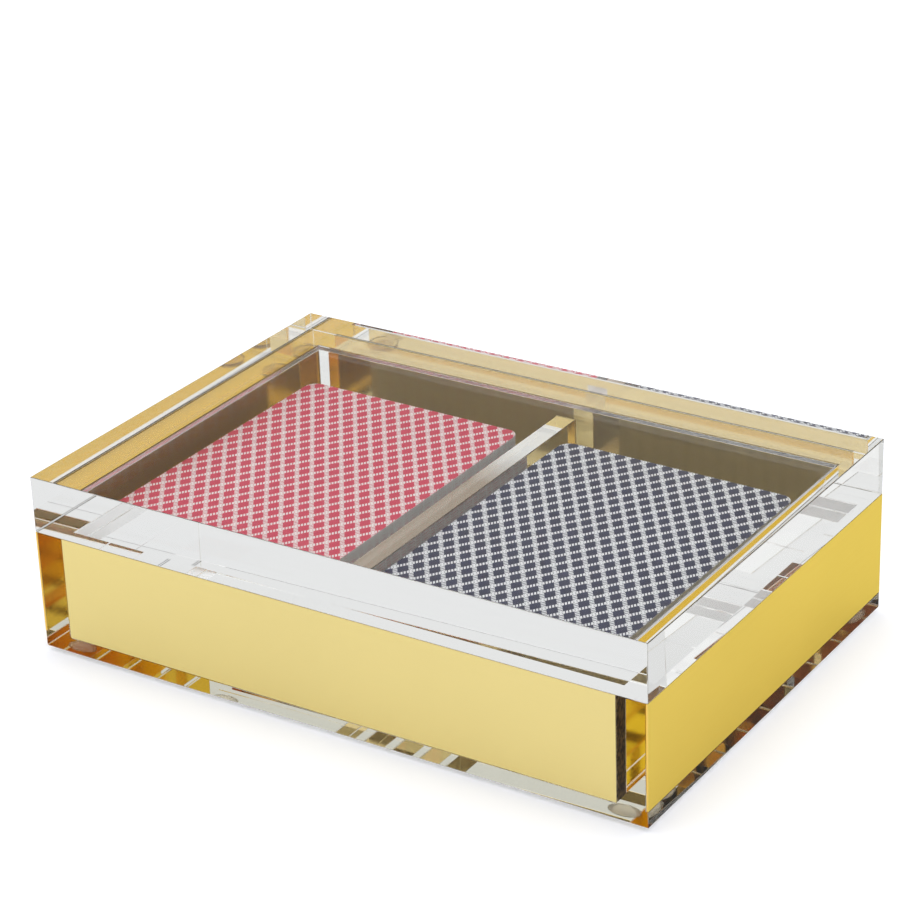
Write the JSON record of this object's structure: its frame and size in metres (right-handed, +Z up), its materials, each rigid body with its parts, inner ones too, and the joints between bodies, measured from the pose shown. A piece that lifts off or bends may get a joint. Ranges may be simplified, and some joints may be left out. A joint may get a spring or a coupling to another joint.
{
  "type": "playing card box",
  "caption": "Clear acrylic two-deck card box with brass side panels, a middle divider, bumper feet, a lift-off slab lid and decks of cards in its wells.",
  "frame": {"origin": "under the middle of the box, on the surface that the feet stand on", "axes": "+X to the right along the box's length, +Y from the front to the back, +Z up"},
  "size_m": [0.165, 0.114, 0.046],
  "materials": {
    "clear_acrylic": "clear, flame-polished edges",
    "brass_sheet": "fine satin brushed",
    "foot_rubber": "clear soft bumper",
    "card_white": "smooth coated card stock",
    "red_card_back": "coated card, plain lattice back",
    "navy_card_back": "coated card, plain lattice back"
  },
  "bodies": {
    "case": {"base_plate": "clear_acrylic", "left_wall": "clear_acrylic", "right_wall": "clear_acrylic", "front_wall": "clear_acrylic", "back_wall": "clear_acrylic", "divider": "clear_acrylic", "left_brass_panel": "brass_sheet", "right_brass_panel": "brass_sheet", "front_brass_panel": "brass_sheet", "back_brass_panel": "brass_sheet", "front_left_foot": "foot_rubber", "front_right_foot": "foot_rubber", "back_left_foot": "foot_rubber", "back_right_foot": "foot_rubber"},
    "lid": {"lid_slab": "clear_acrylic", "lid_locating_plate": "clear_acrylic"},
    "red_deck": {"red_bottom_card": "card_white", "red_card_stack": "card_white", "red_top_card": "red_card_back"},
    "navy_deck": {"navy_bottom_card": "card_white", "navy_card_stack": "card_white", "navy_top_card": "navy_card_back"}
  },
  "joints": [
    {"name": "lid_lift", "type": "slide", "parent": "case", "child": "lid", "axis": [0, 0, 1], "range_m": [0, 0.1]},
    {"name": "red_deck_lift", "type": "slide", "parent": "case", "child": "red_deck", "axis": [0, 0, 1], "range_m": [0, 0.05]},
    {"name": "navy_deck_lift", "type": "slide", "parent": "case", "child": "navy_deck", "axis": [0, 0, 1], "range_m": [0, 0.05]}
  ],
  "couplings": [
    {"joint": "red_deck_lift", "follows": "lid_lift", "ratio": 0.5},
    {"joint": "navy_deck_lift", "follows": "lid_lift", "ratio": 0.5}
  ]
}
